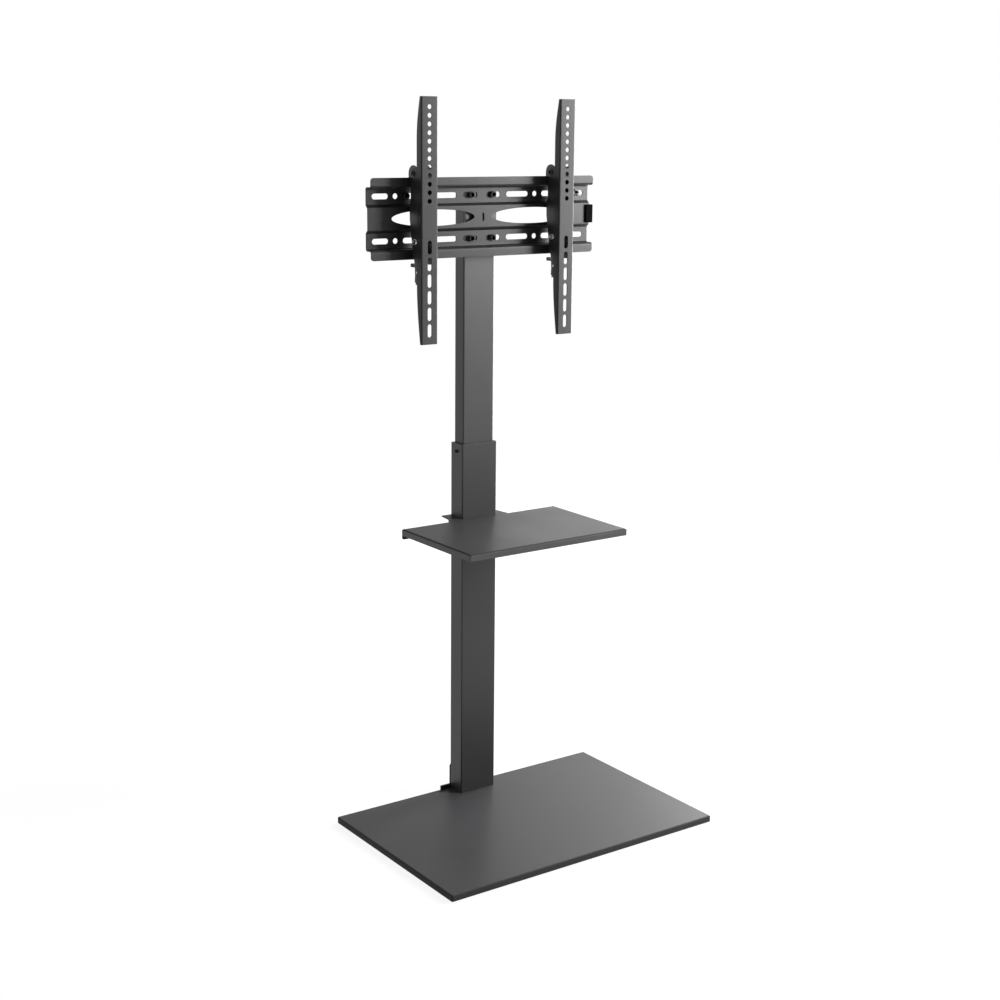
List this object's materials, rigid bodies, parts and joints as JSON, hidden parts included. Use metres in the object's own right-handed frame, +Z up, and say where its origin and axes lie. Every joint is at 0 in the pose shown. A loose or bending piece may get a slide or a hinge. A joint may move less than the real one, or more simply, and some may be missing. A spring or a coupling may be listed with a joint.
{
  "type": "tv stand with mount",
  "caption": "Floor stand for a flat television: weighted base, telescoping column with a shelf, and a rail plate with hook-on tilting arms.",
  "frame": {"origin": "on the floor, under the middle of the base", "axes": "+X to the stand's right as seen from the front, +Y to the back, +Z up; the screen side faces -Y"},
  "size_m": [0.6, 0.408, 1.3675],
  "materials": {
    "base_paint": "satin black powder coat on the base's sheet cover",
    "column_paint": "satin black powder coat on the fixed tube",
    "mast_paint": "satin black powder coat on the sliding tube and its head plate",
    "rail_paint": "satin black powder coat on the folded rail plate",
    "arm_paint": "satin black powder coat on the arms",
    "bracket_paint": "matt black powder coat on brackets, latches and clamps",
    "shelf_paint": "satin black powder coat on the shelf tray",
    "black_steel": "blackened steel screws, bolts and washers",
    "zinc_steel": "bright zinc-plated steel nuts, studs and pins",
    "raw_steel": "plain oiled steel plate",
    "black_plastic": "moulded black nylon",
    "level_plastic": "moulded black plastic with a smooth face",
    "rubber": "black rubber floor pads"
  },
  "bodies": {
    "stand": {"base_cover": "base_paint", "ballast_plate": "raw_steel", "floor_pads": "rubber", "foot_plate": "raw_steel", "column_bolts": "black_steel", "foot_brace": "bracket_paint", "brace_screws": "black_steel", "column_tube": "column_paint", "guide_bush": "black_plastic", "height_screws": "black_steel"},
    "mast": {"mast_tube": "mast_paint", "glide_shoe": "black_plastic", "mast_cap": "black_plastic", "head_plate": "mast_paint", "head_nuts": "zinc_steel", "rail_plate": "rail_paint", "plate_bolts": "black_steel", "plate_washers": "black_steel", "level_block": "level_plastic", "slot_screw": "black_steel", "slot_nut": "zinc_steel"},
    "shelf": {"shelf_tray": "shelf_paint", "shelf_studs": "zinc_steel", "shelf_nuts": "zinc_steel", "clamp_front": "bracket_paint", "clamp_rear": "bracket_paint", "clamp_bolts": "black_steel", "clamp_nuts": "zinc_steel"},
    "left_hook": {"left_tilt_bracket": "bracket_paint", "left_rest_pad": "black_plastic", "left_latch_pin": "zinc_steel"},
    "left_safety_latch": {"left_latch": "bracket_paint"},
    "left_screen_arm": {"left_arm": "arm_paint", "left_pivot_bolt": "zinc_steel", "left_pivot_nut": "zinc_steel", "left_lock_bolt": "black_steel", "left_lock_nut": "zinc_steel"},
    "right_hook": {"right_tilt_bracket": "bracket_paint", "right_rest_pad": "black_plastic", "right_latch_pin": "zinc_steel"},
    "right_safety_latch": {"right_latch": "bracket_paint"},
    "right_screen_arm": {"right_arm": "arm_paint", "right_pivot_bolt": "zinc_steel", "right_pivot_nut": "zinc_steel", "right_lock_bolt": "black_steel", "right_lock_nut": "zinc_steel"}
  },
  "joints": [
    {"name": "mast_slide", "type": "slide", "parent": "stand", "child": "mast", "axis": [0, 0, 1], "range_m": [-0.2, 0.12]},
    {"name": "shelf_slide", "type": "slide", "parent": "stand", "child": "shelf", "axis": [0, 0, 1], "range_m": [-0.4, 0.11]},
    {"name": "left_hook_slide", "type": "slide", "parent": "mast", "child": "left_hook", "axis": [1, 0, 0], "range_m": [-0.0775, 0.1025]},
    {"name": "left_tilt", "type": "hinge", "parent": "left_hook", "child": "left_screen_arm", "pos_m": [-0.1525, 0.121, 1.112], "axis": [1, 0, 0], "range_deg": [0, 8]},
    {"name": "left_latch_slide", "type": "slide", "parent": "left_hook", "child": "left_safety_latch", "axis": [0, 0, 1], "range_m": [0, 0.0115]},
    {"name": "right_hook_slide", "type": "slide", "parent": "mast", "child": "right_hook", "axis": [1, 0, 0], "range_m": [-0.105, 0.075]},
    {"name": "right_tilt", "type": "hinge", "parent": "right_hook", "child": "right_screen_arm", "pos_m": [0.155, 0.121, 1.112], "axis": [1, 0, 0], "range_deg": [0, 8]},
    {"name": "right_latch_slide", "type": "slide", "parent": "right_hook", "child": "right_safety_latch", "axis": [0, 0, 1], "range_m": [0, 0.0115]}
  ]
}
